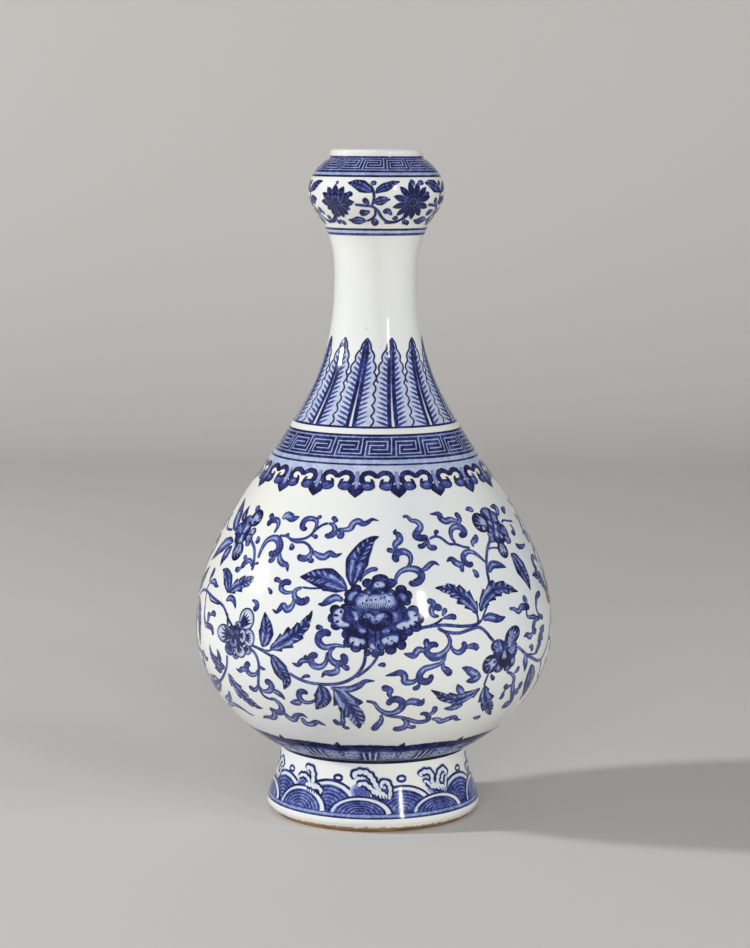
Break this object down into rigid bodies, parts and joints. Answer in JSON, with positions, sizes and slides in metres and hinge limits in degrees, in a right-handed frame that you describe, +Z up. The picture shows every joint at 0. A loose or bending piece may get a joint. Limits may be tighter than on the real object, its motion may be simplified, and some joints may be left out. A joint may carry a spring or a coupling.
{
  "type": "garlic head vase",
  "caption": "Porcelain bottle vase with a round belly, slender neck, garlic-shaped mouth and flared foot, painted in underglaze blue; holds stems or stands on display.",
  "frame": {"origin": "centre of the resting rim, on the surface that the vase stands on", "axes": "+Z up along the vase's axis; -Y is the front, the side that the picture shows"},
  "size_m": [0.1514, 0.1514, 0.28],
  "materials": {
    "biscuit": "bare fired porcelain, burnt brown at the resting rim, matt",
    "porcelain_body": "fired white porcelain, matt, hidden under glaze",
    "luting_slip": "fired slip, matt, hidden under glaze",
    "painted_glaze": "glossy clear glaze, faintly blue, over cobalt painting",
    "clear_glaze": "glossy clear glaze, faintly blue"
  },
  "bodies": {
    "root": {"foot_ring": "biscuit", "lower_body": "porcelain_body", "shoulder": "porcelain_body", "neck": "porcelain_body", "garlic_head": "porcelain_body", "foot_luting": "luting_slip", "belly_luting": "luting_slip", "neck_luting": "luting_slip", "head_luting": "luting_slip", "outer_glaze": "painted_glaze", "inner_glaze": "clear_glaze", "base_glaze": "clear_glaze"}
  },
  "joints": []
}
